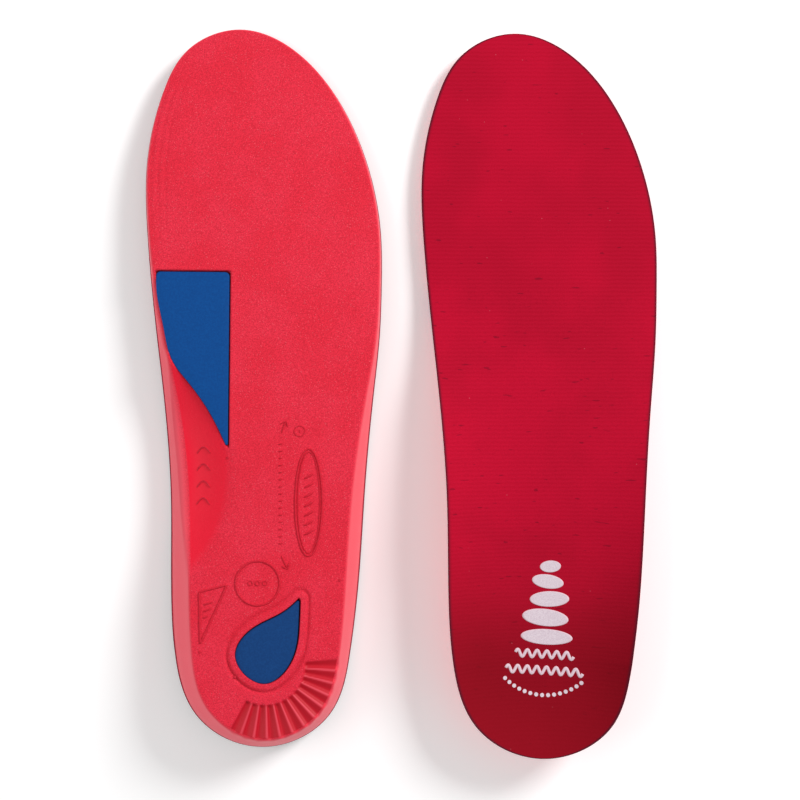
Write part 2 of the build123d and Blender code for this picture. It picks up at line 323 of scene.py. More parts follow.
def closed_layer(build, top, rings, bottom, marks_top, marks_ring, marks_bottom):
    """A closed body: a top grid, rings of points down its edge, and a bottom grid. The marks of
    each of the three are values at its points, or one value for all of them."""
    top_points, top_faces, top_edge = grid_patch(top, True)
    low_points, low_faces, low_edge = grid_patch(bottom, False)
    ring_points = np.concatenate(rings)
    size = len(top_edge)
    start = len(top_points)
    low_start = start + len(ring_points)
    order = [top_edge, *[start + i * size + np.arange(size) for i in range(len(rings))]]
    order.append(low_start + low_edge)
    faces = [*top_faces, *[f + low_start for f in low_faces]]
    faces += [strip_faces(u, v) for u, v in zip(order[:-1], order[1:])]
    parts = ((marks_top, start), (marks_ring, len(ring_points)), (marks_bottom, len(low_points)))
    marks = {}
    for name in {*marks_top, *marks_ring, *marks_bottom}:
        values = [np.broadcast_to(given.get(name, 0.0), (count,)) for given, count in parts]
        marks[name] = np.concatenate(values)
    build.add(np.concatenate([top_points, ring_points, low_points]), faces, **marks)


# ---- shape of the underside ----------------------------------------------------------------------
def smooth(t):
    """Eases from 0 to 1 as t goes from 0 to 1."""
    t = np.clip(t, 0, 1)
    return t * t * (3 - 2 * t)


def ray_outline(radii):
    """Outline of the long plug: a curved side and two straight ones, round the three corners."""
    front, outer, tip = RAY_CORNERS
    curved = open_curve([tip, *RAY_INNER_EDGE, front], 140)
    return joined([line(outer, tip, 130), curved, line(front, outer, 56)], radii)


def heel_outline(radii):
    """Outline of the drop-shaped plug: one curve that leaves its tip and returns to it."""
    return joined([open_curve([HEEL_PLUG_TIP, *HEEL_PLUG_EDGE, HEEL_PLUG_TIP], 220)], radii)


def joined(paths, radii):
    """A closed outline from paths that meet at corners. Each corner, the first where the first
    path ends, becomes an arc that touches both of its paths, whose directions are read a few
    points away from the corner."""
    arcs, cuts = [], []
    away, clear = 5, 0.15  # points from the corner, and millimetres kept free beside an arc
    for i, (path, radius) in enumerate(zip(paths, radii)):
        corner = path[-1]
        back = unit(path[-1 - away] - corner)
        ahead = unit(paths[(i + 1) % len(paths)][away] - corner)
        half = np.arccos(back @ ahead) / 2
        cuts.append(radius / np.tan(half))
        centre = corner + unit(back + ahead) * radius / np.sin(half)
        first, last = corner + back * cuts[-1] - centre, corner + ahead * cuts[-1] - centre
        turn, t = np.pi - 2 * half, np.linspace(0, 1, 15)[:, None]
        arc = (np.sin((1 - t) * turn) * first + np.sin(t * turn) * last) / np.sin(turn)
        arcs.append(centre + arc)
    outline = []
    for i, path in enumerate(paths):
        from_start = np.linalg.norm(path - path[0], axis=1)
        from_end = np.linalg.norm(path - path[-1], axis=1)
        keep = (from_start > cuts[i - 1] + clear) & (from_end > cuts[i] + clear)
        outline += [path[keep], arcs[i]]
    return np.concatenate(outline)


def unit(v):
    """A vector's direction: the vector divided by its length."""
    return v / np.linalg.norm(v)


def open_curve(points, count):
    """Points along a smooth line through the given ones: cubic pieces over the chord lengths with
    no bend at the two ends."""
    p = np.array(points, float)
    step = np.linalg.norm(np.diff(p, axis=0), axis=1)
    n = len(p)
    system = np.eye(n)
    k = np.arange(1, n - 1)
    system[k, k] = 2 * (step[:-1] + step[1:])
    system[k, k - 1], system[k, k + 1] = step[:-1], step[1:]
    slope = np.diff(p, axis=0) / step[:, None]
    right = np.zeros_like(p)
    right[1:-1] = 6 * np.diff(slope, axis=0)
    bend = np.linalg.solve(system, right)
    ends = np.concatenate([[0], np.cumsum(step)])
    t = np.linspace(0, ends[-1], count)
    i = np.clip(np.searchsorted(ends, t, side="right") - 1, 0, n - 2)
    h, u = step[i][:, None], (t - ends[i])[:, None]
    w = h - u
    lift = (bend[i] * w**3 + bend[i + 1] * u**3) / (6 * h)
    return lift + (p[i] / h - bend[i] * h / 6) * w + (p[i + 1] / h - bend[i + 1] * h / 6) * u


def outline_distance(xy, outline):
    """Distance of each point from a closed outline, negative inside it, and its nearest point on
    the outline: the least distance to any side, and inside where a line out to the right crosses
    the outline an odd number of times."""
    x, y = xy[..., 0], xy[..., 1]
    best = np.full(x.shape, 1e9)
    near = np.zeros(xy.shape)
    odd = np.zeros(x.shape, bool)
    for (ax, ay), (bx, by) in zip(outline, np.roll(outline, -1, axis=0)):
        dx, dy = bx - ax, by - ay
        t = np.clip(((x - ax) * dx + (y - ay) * dy) / (dx * dx + dy * dy), 0, 1)
        px, py = ax + t * dx, ay + t * dy
        away = (x - px) ** 2 + (y - py) ** 2
        closer = away < best
        best = np.where(closer, away, best)
        near = np.where(closer[..., None], np.stack([px, py], axis=-1), near)
        crosses = (ay > y) != (by > y)
        odd ^= crosses & (x < ax + (y - ay) * dx / (dy if dy else 1e-9))
    return np.where(odd, -1, 1) * np.sqrt(best), near


def gathered(xy, outline):
    """Grid points near an outline, drawn closer to it, so that a step along the outline is drawn
    by more of them: by 1 less a power of their distance over the reach. The grid's own edge stays
    where it is, and the pull grows over its next few rows and columns."""
    reach, power, steps = 1.8, 0.8, 4
    away, near = outline_distance(xy, outline)
    share = np.clip(np.abs(away) / reach, 0, 1)[..., None]
    columns, rows = np.arange(xy.shape[1]), np.arange(xy.shape[0])
    inside = smooth(np.minimum(columns, columns[::-1]) / steps)[None, :, None]
    inside = inside * smooth(np.minimum(rows, rows[::-1]) / steps)[:, None, None]
    return xy + (near - xy) * (1 - share**power) * inside


def hollow_at(xy):
    """Share of the arch hollow at each point: 1 at its centre, easing to 0 at its rim."""
    u = (xy[..., 0] - HOLLOW_CENTRE[0]) / HOLLOW_REACH[0]
    v = (xy[..., 1] - HOLLOW_CENTRE[1]) / HOLLOW_REACH[1]
    return smooth(HOLLOW_SLOPE * (1 - np.sqrt(u * u + v * v)))


def fan_at(xy):
    """Place in the heel's fan: whether each point is inside the fan, easing from 0 to 1, and how
    far round its own leaf it is."""
    dx, dy = xy[..., 0] - FAN_CENTRE[0], xy[..., 1] - FAN_CENTRE[1]
    turn = np.degrees(np.arctan2(dy, dx))
    place = (FAN_FIRST - turn) / (FAN_FIRST - FAN_LAST) * FAN_COUNT
    radius = np.hypot(dx, dy)
    inside = smooth((radius - FAN_START) / FAN_EASE)
    inside = inside * smooth(place * LEAF_END) * smooth((FAN_COUNT - place) * LEAF_END)
    return inside, np.mod(place, 1.0)


def ripple(away, width):
    """A bell curve: e to the power of minus the square of the distance over the width."""
    return np.exp(-((away / width) ** 2))


def flow_lines(xy):
    """Depth of the flow lines: a bell curve at each pitch out from the inner edge, in a band that
    fades out at its outer side and both ends."""
    x, y = xy[..., 0], xy[..., 1]
    inner_edge = along(y, INNER_X) + 0.8
    line_share = ripple((x - inner_edge) % FLOW_PITCH - FLOW_PITCH / 2, FLOW_WIDTH)
    ends = smooth((y - FLOW_START) / 30) * smooth((FLOW_END - y) / 12)
    return FLOW_DEPTH * line_share * ends * smooth((FLOW_BAND - x + inner_edge) / 4)


def sole_relief(xy, ray, heel):
    """How far the underside is pushed in at each point, the sum of its hollows and grooves less
    its lips, and the shares of arch hollow, fan, painted shade in the pockets and the heel plug's
    groove, and painted highlight on the leaf crests there."""
    ray_away, heel_away = outline_distance(xy, ray)[0], outline_distance(xy, heel)[0]
    hollow = hollow_at(xy)
    fan, leaf = fan_at(xy)
    ray_pocket = smooth(-ray_away / POCKET_WALL) * RAY_DEPTH
    heel_pocket = smooth(-heel_away / POCKET_WALL) * HEEL_DEPTH
    groove = RING_GROOVE_DEPTH * ripple(heel_away - RING_GROOVE_OUT, RING_GROOVE_WIDTH)
    lip = RAY_LIP * ripple(ray_away - RAY_LIP_OUT, RAY_LIP_WIDTH)
    lip = lip + HEEL_LIP * smooth((HEEL_LIP_OUT - heel_away) / HEEL_LIP_EASE)
    leaf_depth = FAN_LEAST + (1 - FAN_LEAST) * smooth(leaf * LEAF_FALL) * smooth((1 - leaf) * LEAF_RISE)
    depth = HOLLOW_DEPTH * hollow + np.maximum(ray_pocket, heel_pocket) + groove
    depth = depth + flow_lines(xy) + FAN_DEPTH * fan * leaf_depth - lip * (1 - hollow)
    # Painted highlight: this mark is 1 along the crests between the fan's leaves, where the foam is
    # drawn paler.
    ridge = fan * smooth(1 - np.minimum(leaf, 1 - leaf) * LEAF_RIDGE)
    # Painted shade: the pocket mark darkens a band just inside each pocket's outline, where the gaps
    # round the plugs show, and a line along the groove round the heel plug.
    pocket = smooth(-np.minimum(ray_away, heel_away) / POCKET_SHADE)
    ring = GROOVE_SHADE * ripple(heel_away - RING_GROOVE_OUT, GROOVE_SHADE_WIDTH)
    return depth, hollow, fan, np.maximum(pocket, ring), ridge


def make_shell(side):
    """The foam shell: a finely gridded underside with its relief, rounded into flared walls that
    run up to the laminate, and a plain top under the backing."""
    s = ring_parameters(ROWS)
    ray, heel = ray_outline([POCKET_RADIUS] * 3), heel_outline([POCKET_RADIUS])
    foot, rim = FOOT(s), RIM(s)
    flare = np.linalg.norm(foot - rim, axis=1)
    inward = (foot - rim) / flare[:, None]
    radius = np.minimum(EDGE_MOST, EDGE_SHARE * flare + EDGE_LEAST)
    flat_edge = foot + inward * radius[:, None]
    edge_depth = sole_relief(flat_edge, ray, heel)[0]
    top_edge = rim_below(s, FABRIC + BACKING)

    # rings down the wall from the laminate, then round the edge along a quadratic curve
    corner_z = edge_depth + radius
    # The wall mark smooths the skin and also paints the walls' paler sheen; it fades round the edge.
    rings, wall = [], []
    for t in np.linspace(0, 1, 9)[1:]:
        z = top_edge[:, 2] + (corner_z - top_edge[:, 2]) * t
        rings.append(wall_point(s, z))
        wall.append(np.ones(len(s)))
    start, middle = rings[-1], np.column_stack([foot, edge_depth])
    end = np.column_stack([flat_edge, edge_depth])
    for t in (0.3, 0.55, 0.8):
        rings.append((1 - t) ** 2 * start + 2 * t * (1 - t) * middle + t * t * end)
        wall.append(np.full(len(s), 1 - t))

    sole_xy = gathered(gathered(across(end, SOLE_COLUMNS), ray), heel)
    depth, hollow, fan, pocket, ridge = sole_relief(sole_xy, ray, heel)
    sole = np.concatenate([sole_xy, depth[..., None]], axis=-1)
    top_xy = across(top_edge, HIDDEN_COLUMNS)
    top = np.concatenate([top_xy, top_height(top_xy[..., 0], top_xy[..., 1])[..., None]], axis=-1)
    top[..., 2] -= FABRIC + BACKING

    build = Build()
    named = {"hollow": hollow, "fan": fan, "pocket": pocket, "ridge": ridge}
    sole_marks = {name: over_patch(values) for name, values in named.items()}
    closed_layer(build, top, rings, sole, {}, {"wall": np.concatenate(wall)}, sole_marks)
    return build.object(side + "_shell", side)


def make_layer(name, side, over, under, bulge, columns):
    """A closed layer of the laminate between two depths below the top, with a slightly swollen
    cut edge: a half wave out of the straight wall, less a little at its two corners. Its edge mark
    is 1 on the cut edge and fades out inwards, and its cup mark, which paints shade, grows down
    into the heel cup."""
    s = ring_parameters(ROWS)
    high, low = rim_below(s, over), rim_below(s, under)
    rim, foot = RIM(s), FOOT(s)
    outward = (rim - foot) / np.linalg.norm(rim - foot, axis=1)[:, None]
    tuck, corner_share, edge_fade = 0.22 * (under - over), 0.3, 1.2
    high_edge, low_edge = high.copy(), low.copy()
    high_edge[:, :2] -= outward * tuck
    low_edge[:, :2] -= outward * tuck
    high_edge[:, 2] = top_height(high_edge[:, 0], high_edge[:, 1]) - over
    rings = []
    for t in (0.12, 0.35, 0.65, 0.88):
        ring = high + (low - high) * t
        swell = bulge * np.sin(np.pi * t) - corner_share * tuck * abs(2 * t - 1) ** 3
        ring[:, :2] += outward * swell
        rings.append(ring)

    def sheet(edge, drop, count):
        xy = across(edge, count)
        z = top_height(xy[..., 0], xy[..., 1]) - drop
        return np.concatenate([xy, z[..., None]], axis=-1)

    top, bottom = sheet(high_edge, over, columns), sheet(low_edge, under, HIDDEN_COLUMNS)
    reach = np.linalg.norm(top[:, :1, :2] - top[:, -1:, :2], axis=-1)
    t = np.linspace(0, 1, top.shape[1])[None]
    edge = smooth(1 - np.minimum(t, 1 - t) * reach / edge_fade)
    # Painted shade: the cup mark darkens the cover towards the heel and up the cup's walls.
    cup = smooth((95 - top[..., 1]) / 80) * smooth((top[..., 2] - 2.0) / 20 + 0.5)
    on_top = {"edge": over_patch(edge), "cup": over_patch(cup)}
    build = Build()
    closed_layer(build, top, rings, bottom, on_top, {"edge": 1.0}, {"edge": 0.3})
    return build.object(f"{side}_{name}", side)


def make_plug(name, side, outline, depth):
    """A plug in its pocket: rings drawn in from the outline along its normals for the rounded edge
    and the straight side, and rings that shrink to its middle for the slightly crowned face."""
    outline = anticlockwise(outline + PLUG_SHIFT)
    middle, away, size = outline.mean(axis=0), outline_normals(outline), len(outline)
    rings = []
    for t in np.linspace(0, 1, 7):
        inset = PLUG_GAP + PLUG_ROUND * (1 - np.sin(np.pi / 2 * t))
        z = PLUG_RECESS + PLUG_ROUND * (1 - np.cos(np.pi / 2 * t))
        rings.append(np.column_stack([outline - away * inset, np.full(size, z)]))
    rings.append(np.column_stack([outline - away * PLUG_GAP, np.full(size, depth)]))
    face_edge = rings[0][:, :2]
    for k in np.linspace(1, 0, 14)[1:-1]:
        z = PLUG_RECESS - PLUG_CROWN * smooth((1 - k) * 4)
        rings.insert(0, np.column_stack([middle + (face_edge - middle) * k, np.full(size, z)]))
    points = np.concatenate([[[*middle, PLUG_RECESS - PLUG_CROWN]], *rings, [[*middle, depth]]])
    order = [1 + i * size + np.arange(size) for i in range(len(rings))]
    faces = [strip_faces(v, u) for u, v in zip(order[:-1], order[1:])]
    near, far = np.zeros(size, int), np.full(size, len(points) - 1)
    faces.append(np.stack([near, np.roll(order[0], -1), order[0]], axis=-1))
    faces.append(np.stack([far, order[-1], np.roll(order[-1], -1)], axis=-1))
    build = Build()
    build.add(points, faces)
    return build.object(f"{side}_{name}", side)


def outline_normals(outline):
    """Directions out of an outline that runs anticlockwise, square to the chord at each point."""
    run = np.roll(outline, -1, axis=0) - np.roll(outline, 1, axis=0)
    run /= np.linalg.norm(run, axis=1)[:, None]
    return np.stack([run[:, 1], -run[:, 0]], axis=1)


def anticlockwise(outline):
    """The outline, turned round where its signed area, the sum of x dy less y dx, is negative."""
    x, y = outline[:, 0], outline[:, 1]
    area = (x * np.roll(y, -1) - y * np.roll(x, -1)).sum()
    return outline if area > 0 else outline[::-1]


# ---- raised marks on the underside ---------------------------------------------------------------
def bead(build, path, closed, width, height):
    """A half-sunk welt along a path: an oval section of 8 points, cosine across and sine up,
    carried square to the path. At the ends of an open one it shrinks to nothing."""
    path = np.asarray(path, float)
    n, m = len(path), 8
    if closed:
        run = np.roll(path, -1, axis=0) - np.roll(path, 1, axis=0)
        size = np.ones(n)
    else:
        run = np.gradient(path, axis=0)
        from_end = np.minimum(np.arange(n), np.arange(n)[::-1])
        size = np.sqrt(np.clip(from_end / 2, 1e-3, 1))
    run /= np.linalg.norm(run, axis=1)[:, None]
    side = np.stack([run[:, 1], -run[:, 0]], axis=1)
    turn = np.linspace(0, 2 * np.pi, m, endpoint=False)
    wide = 0.5 * width * size[:, None] * np.cos(turn)
    rise = height * size[:, None] * np.sin(turn)
    xy = path[:, None] + side[:, None] * wide[..., None]
    ground = HOLLOW_DEPTH * hollow_at(path)[:, None]
    points = np.concatenate([xy, (ground - rise)[..., None]], axis=-1).reshape(-1, 3)
    index = np.arange(n * m).reshape(n, m)
    ahead = np.roll(index, -1, axis=0)
    quads = np.stack([index, np.roll(index, -1, axis=1), np.roll(ahead, -1, axis=1), ahead], axis=-1)
    if closed:
        faces = [quads.reshape(-1, 4)]
    else:
        faces = [quads[:-1].reshape(-1, 4), index[:1, ::-1], index[-1:]]
    # The raised mark lets the foam material paint shade on the welts, drawing them darker.
    build.add(points, faces, raised=1.0)


def oval(cx, cy, wide, long, count, turn=0.0):
    """Points round an ellipse: cosine and sine times its two half widths, turned and moved."""
    t = np.linspace(0, 2 * np.pi, count, endpoint=False)
    points = turned(np.column_stack([wide * np.cos(t), long * np.sin(t)]), turn)
    return points + (cx, cy)


def turned(xy, angle):
    """Points turned anticlockwise about the origin."""
    c, s = np.cos(angle), np.sin(angle)
    return np.column_stack([xy[:, 0] * c - xy[:, 1] * s, xy[:, 0] * s + xy[:, 1] * c])


def line(a, b, count=9):
    """Evenly spaced points from a to b."""
    t = np.linspace(0, 1, count)[:, None]
    return np.array(a) * (1 - t) + np.array(b) * t


def rounded_corners(corners, radius, steps=7):
    """A closed outline with rounded corners: at each one a quadratic curve that leaves one side
    and joins the next a radius away, and then points about a millimetre apart along the side."""
    p = np.array(corners, float)
    t = np.linspace(0, 1, steps)[:, None]
    points = []
    for back, here, ahead in zip(np.roll(p, 1, axis=0), p, np.roll(p, -1, axis=0)):
        a = here + unit(back - here) * radius
        b = here + unit(ahead - here) * radius
        points.append((1 - t) ** 2 * a + 2 * t * (1 - t) * here + t * t * b)
        side_end = ahead + unit(here - ahead) * radius
        count = max(2, int(np.linalg.norm(side_end - b)))
        points.append(line(b, side_end, count + 2)[1:-1])
    return np.concatenate(points)


# Places of the marks in the insole's own frame.
SIZE_RING, SIZE_RING_RADIUS = (-1.5, 60.8), 7.9
DOUBLE_OVAL = (16.7, 89.8)
SMALL_RING = (13.3, 115.6)
TRIANGLE = [(-12.5, 60.2), (-22.4, 57.7), (-21.8, 39.3)]
TRIANGLE_BARS_FROM, TRIANGLE_BARS_TO = (-21.2, 56.2), (-20.9, 44.0)
DASHES_FROM, DASHES_TO = (6.6, 72.4), (6.4, 113.2)
ARROWS = [((9.4, 65.6), (6.8, 71.0)), ((8.4, 119.6), (6.6, 114.6))]  # tip and tail
CHEVRON_START, CHEVRON_PITCH = (-21.5, 90.0), 6.2
PIN_MARKS = [(28.0, 61.8), (-22.0, 36.4), (-9.4, 27.4), (-12.6, 105.9)]


def mixed(a, b, share):
    """The point that lies this share of the way from a to b."""
    return np.array(a) * (1 - share) + np.array(b) * share


def make_marks(side):
    """Moulded marks in plain shapes: a size ring with three dots, an oval with slanted bars, a
    triangle with bars, a dashed line between two arrows, chevrons in the arch and pin marks."""
    build = Build()
    x, y = SIZE_RING
    bead(build, oval(x, y, SIZE_RING_RADIUS, SIZE_RING_RADIUS, 72), True, 0.85, 0.48)
    for i in (-1, 0, 1):
        bead(build, oval(x + 2.6 * i, y, 0.8, 0.8, 14), True, 0.6, 0.288)
    x, y = DOUBLE_OVAL
    bead(build, oval(x, y, 4.9, 19.3, 110), True, 0.7, 0.48)
    bead(build, oval(x, y, 4.0, 18.2, 110), True, 0.45, 0.3)
    for up in np.arange(-11, 12, 3.4):
        bar = line((x - 1.8, y - 0.9 + up), (x + 1.8, y + 1.1 + up))
        bead(build, bar, False, 0.85, 0.48)
    x, y = SMALL_RING
    bead(build, oval(x, y, 1.9, 1.9, 28), True, 0.5, 0.288)
    bead(build, line((x, y - 0.8), (x, y + 0.8), 7), False, 0.5, 0.24)
    bead(build, rounded_corners(TRIANGLE, 0.8), True, 0.8, 0.48)
    for share in (0.25, 0.45, 0.65):
        start = mixed(TRIANGLE_BARS_FROM, TRIANGLE_BARS_TO, share)
        bead(build, line(start, start + (5.4 * (1 - share), 1.0)), False, 0.7, 0.432)
    for share in np.linspace(0.06, 0.94, 15):
        here = mixed(DASHES_FROM, DASHES_TO, share)
        bead(build, line(here - (0.85, 0), here + (0.85, 0.25), 7), False, 0.6, 0.384)
    for tip, tail in np.array(ARROWS):
        run = unit(tip - tail)
        square = np.array([-run[1], run[0]])
        bead(build, line(tail, tip), False, 0.6, 0.408)
        for way in (-1, 1):
            barb = tip - run * 2.4 + square * way * 1.6
            bead(build, line(tip, barb, 7), False, 0.6, 0.408)
    for i in range(4):
        base = np.array(CHEVRON_START) + (0, CHEVRON_PITCH * i)
        chevron = open_curve([base - (2.6, 1.2), base + (0, 1.4), base + (2.6, -1.2)], 15)
        bead(build, chevron, False, 0.7, 0.36)
    for x, y in PIN_MARKS:
        bead(build, oval(x, y, 0.28, 0.28, 12), True, 0.6, 0.24)
    return build.object(side + "_sole_marks", side)


# ---- print on the cover ---------------------------------------------------------------------------
PRINT_CENTRE, PRINT_TURN = (2.0, 46.0), np.radians(-3.5)
# Centre, half length, half thickness and slope in degrees of each pebble, and centre, length and
# number of crests of each wave.
PEBBLES = [
    (0.2, 22.4, 3.9, 2.2, 6.0),
    (-0.4, 16.8, 5.9, 2.6, -5.0),
    (0.6, 10.4, 7.3, 2.9, 4.0),
    (-0.5, 3.5, 8.6, 3.2, -3.0),
    (0.4, -3.6, 9.6, 2.9, 0.0),
]
WAVES = [(0.0, -10.0, 21.6, 6), (0.2, -15.9, 28.4, 8)]
WAVE_HEIGHT, WAVE_THICK = 1.3, 1.2
# Centre and radius of the dots' arc, and half its angle in degrees.
DOT_ARC, DOT_COUNT, DOT_RADIUS = (0.0, -4.4, 20.5, 43.0), 15, 0.75
INK, INK_SUNK = 0.12, 0.1  # the film stands this proud, and its rim is this deep in the cloth


def ink_patch(build, outline):
    """A film over the inside of an outline: rings that shrink to its middle, laid on the cover,
    with the outer ring sunk into the cloth. The film's rim is marked so that it can bleed."""
    outline = anticlockwise(outline)
    middle = outline.mean(axis=0)
    marks, rings = [], []
    for i, k in enumerate([1.0, 0.985, 0.9, 0.78, 0.6, 0.4, 0.2]):
        xy = turn_print(middle + (outline - middle) * k)
        z = top_height(xy[:, 0], xy[:, 1]) + (-INK_SUNK if i == 0 else INK)
        rings.append(np.column_stack([xy, z]))
        marks.append(np.full(len(xy), max(0.0, 1 - i / 2.5)))
    centre = turn_print(middle[None])
    z = top_height(centre[:, 0], centre[:, 1])
    size = len(outline)
    top, under = np.column_stack([centre, z + INK]), np.column_stack([centre, z - INK_SUNK])
    points = np.concatenate([*rings, top, under])
    order = [i * size + np.arange(size) for i in range(len(rings))]
    faces = [strip_faces(v, u) for u, v in zip(order[:-1], order[1:])]
    last = len(rings) * size
    faces.append(np.stack([order[-1], np.roll(order[-1], -1), np.full(size, last)], axis=-1))
    faces.append(np.stack([np.roll(order[0], -1), order[0], np.full(size, last + 1)], axis=-1))
    build.add(points, faces, rim=np.concatenate([*marks, [0.0, 1.0]]))


def turn_print(xy):
    """Points of the print's own drawing, turned and moved to its place on the cover."""
    return turned(xy, PRINT_TURN) + PRINT_CENTRE


def ink_ribbon(build, path, width):
    """A film along a path: five points across, square to it, the outer two and the whole of both
    ends sunk in the cloth."""
    run = np.gradient(path, axis=0)
    run /= np.linalg.norm(run, axis=1)[:, None]
    side = np.stack([run[:, 1], -run[:, 0]], axis=1)
    offsets = np.array([-0.5, -0.44, 0.0, 0.44, 0.5]) * width
    n, m = len(path), len(offsets)
    xy = turn_print((path[:, None] + side[:, None] * offsets[None, :, None]).reshape(-1, 2))
    lift = np.full((n, m), -INK_SUNK)
    lift[1:-1, 1:-1] = INK
    z = top_height(xy[:, 0], xy[:, 1]) + lift.reshape(-1)
    index = np.arange(n * m).reshape(n, m)
    a, b, c, d = index[:-1, :-1], index[1:, :-1], index[1:, 1:], index[:-1, 1:]
    top = np.stack([a, d, c, b], axis=-1).reshape(-1, 4)
    under = np.stack([index[:-1, 0], index[1:, 0], index[1:, -1], index[:-1, -1]], axis=-1)
    caps = [index[:1], index[-1:, ::-1]]
    rim = np.tile(np.array([1.0, 0.8, 0.0, 0.8, 1.0]), n)
    build.add(np.column_stack([xy, z]), [top, under, *caps], rim=rim)


def make_print(side):
    """A stack of pebbles over two waves and an arc of dots: ellipses, sine curves and circles."""
    build = Build()
    for x, y, long, thick, slope in PEBBLES:
        ink_patch(build, oval(x, y, long, thick, 48, np.radians(slope)))
    for x, y, length, crests in WAVES:
        t = np.linspace(-0.5, 0.5, crests * 16 + 1)
        wave = WAVE_HEIGHT * np.sin(2 * np.pi * crests * t)
        path = np.column_stack([x + length * t, y + wave])
        ink_ribbon(build, path, WAVE_THICK)
    x, y, radius, half = DOT_ARC
    for turn in np.radians(np.linspace(-half, half, DOT_COUNT)):
        at_x, at_y = x + radius * np.sin(turn), y - radius * np.cos(turn)
        ink_patch(build, oval(at_x, at_y, DOT_RADIUS, DOT_RADIUS, 20))
    return build.object(side + "_print", side)


# ---- materials ------------------------------------------------------------------------------------
def linear(code):
    """An sRGB hex colour as linear red, green, blue and alpha."""
    srgb = np.array([int(code[i : i + 2], 16) for i in (0, 2, 4)]) / 255
    low, high = srgb / 12.92, ((srgb + 0.055) / 1.055) ** 2.4
    return (*np.where(srgb <= 0.04045, low, high).tolist(), 1.0)


def grains(size_mm):
    """Texture scale at which one grain or cell is this wide."""
    return 1 / (size_mm * MM)


def add(tree, kind, inputs, **settings):
    """Adds a node with its settings, and to each input given a link or a constant."""
    node = tree.nodes.new("ShaderNode" + kind)
    for name, value in settings.items():
        setattr(node, name, value)
    for name, value in inputs.items():
        if isinstance(value, bpy.types.NodeSocket):
            tree.links.new(value, node.inputs[name])
        else:
            node.inputs[name].default_value = value
    return node


def start_material(name):
    """An empty material, its node tree and the position on the object."""
    material = bpy.data.materials.new(name)
    material.use_nodes = True
    tree = material.node_tree
    tree.nodes.clear()
    return material, tree, add(tree, "TexCoord", {}).outputs["Object"]


def tinted(tree, colour, layers):
    """Lays tints over a colour in turn. Each layer is a value, where it comes in and is full, the
    share it then has, and its hex colour."""
    for value, low, high, share, tint in layers:
        inputs = {"Value": value, "From Min": low, "From Max": high, "To Max": share}
        amount = add(tree, "MapRange", inputs, interpolation_type="SMOOTHSTEP").outputs["Result"]
        mix = {0: amount, 6: colour, 7: linear(tint)}
        colour = add(tree, "Mix", mix, data_type="RGBA").outputs[2]
    return colour


def finish_material(tree, colour, roughness, height, strength, depth_mm, **constants):
    """The bump, the surface shader with its constants on its own sockets, and the output."""
    inputs = {"Height": height, "Strength": strength, "Distance": depth_mm * MM}
    normal = add(tree, "Bump", inputs).outputs["Normal"]
    inputs = {"Base Color": colour, "Roughness": roughness, "Normal": normal}
    shader = add(tree, "BsdfPrincipled", {**inputs, **constants})
    add(tree, "OutputMaterial", {"Surface": shader.outputs["BSDF"]})


def moulded_foam():
    """Compression-moulded EVA foam: a matt red skin with fine grain and paler open cells, closed
    and smoother on the walls, in the arch hollow and in the fan. Painted into its colour are shade
    in the fan, the pockets, the heel plug's groove and on the raised marks, and highlight on the
    leaf crests and the walls."""
    material, tree, place = start_material("moulded_eva_foam")
    names = ("wall", "hollow", "fan", "ridge", "pocket", "raised")
    on = {n: add(tree, "Attribute", {}, attribute_name=n).outputs["Fac"] for n in names}
    fine = {"Vector": place, "Scale": grains(0.45), "Detail": 3.0, "Roughness": 0.75}
    grain = add(tree, "TexNoise", fine).outputs["Fac"]
    cloud = add(tree, "TexNoise", {"Vector": place, "Scale": grains(16.0)}).outputs["Fac"]
    cells = add(tree, "TexVoronoi", {"Vector": place, "Scale": grains(0.9)}).outputs["Distance"]
    inputs = {"Value": cells, "From Min": 0.34, "From Max": 0.1}
    cell = add(tree, "MapRange", inputs).outputs["Result"]
    open_cell = add(tree, "Math", {0: cell, 1: grain}, operation="MULTIPLY").outputs["Value"]
    layers = [
        (cloud, 0.35, 0.7, 1.0, "F42F49"),
        (grain, 0.42, 0.6, 0.62, "C40E28"),
        (open_cell, 0.3, 0.5, 0.5, "FA7C8A"),
        (on["hollow"], 0.0, 0.2, 0.85, "F0082E"),
        # Painted shade: the whole fan is drawn darker, standing in for the shade in its flutes.
        (on["fan"], 0.0, 1.0, 0.9, "C00A22"),
        # Painted highlight: the crests between the fan's leaves are drawn paler, as if catching the
        # light.
        (on["ridge"], 0.0, 1.0, 0.55, "F4586A"),
        # Painted shade: the raised marks are drawn darker than the foam round them.
        (on["raised"], 0.0, 1.0, 0.5, "C01029"),
        # Painted shade in the pockets' gaps round the plugs and in the groove round the heel plug.
        (on["pocket"], 0.0, 1.0, 0.9, "6A0A1C"),
        # Painted sheen: the walls are drawn a paler pink, standing in for the light their smooth skin
        # catches.
        (on["wall"], 0.0, 1.0, 0.92, "F45565"),
    ]
    colour = tinted(tree, linear("F0263F"), layers)
    smooth_skin = on["wall"]
    for other in (on["hollow"], on["fan"]):
        inputs = {0: smooth_skin, 1: other}
        smooth_skin = add(tree, "Math", inputs, operation="MAXIMUM").outputs["Value"]
    inputs = {"Value": smooth_skin, "To Min": 0.7, "To Max": 0.45}
    roughness = add(tree, "MapRange", inputs).outputs["Result"]
    inputs = {"Value": smooth_skin, "To Min": 0.9, "To Max": 0.15}
    strength = add(tree, "MapRange", inputs).outputs["Result"]
    finish_material(tree, colour, roughness, grain, strength, 0.35, **{"Specular IOR Level": 0.25})
    return material


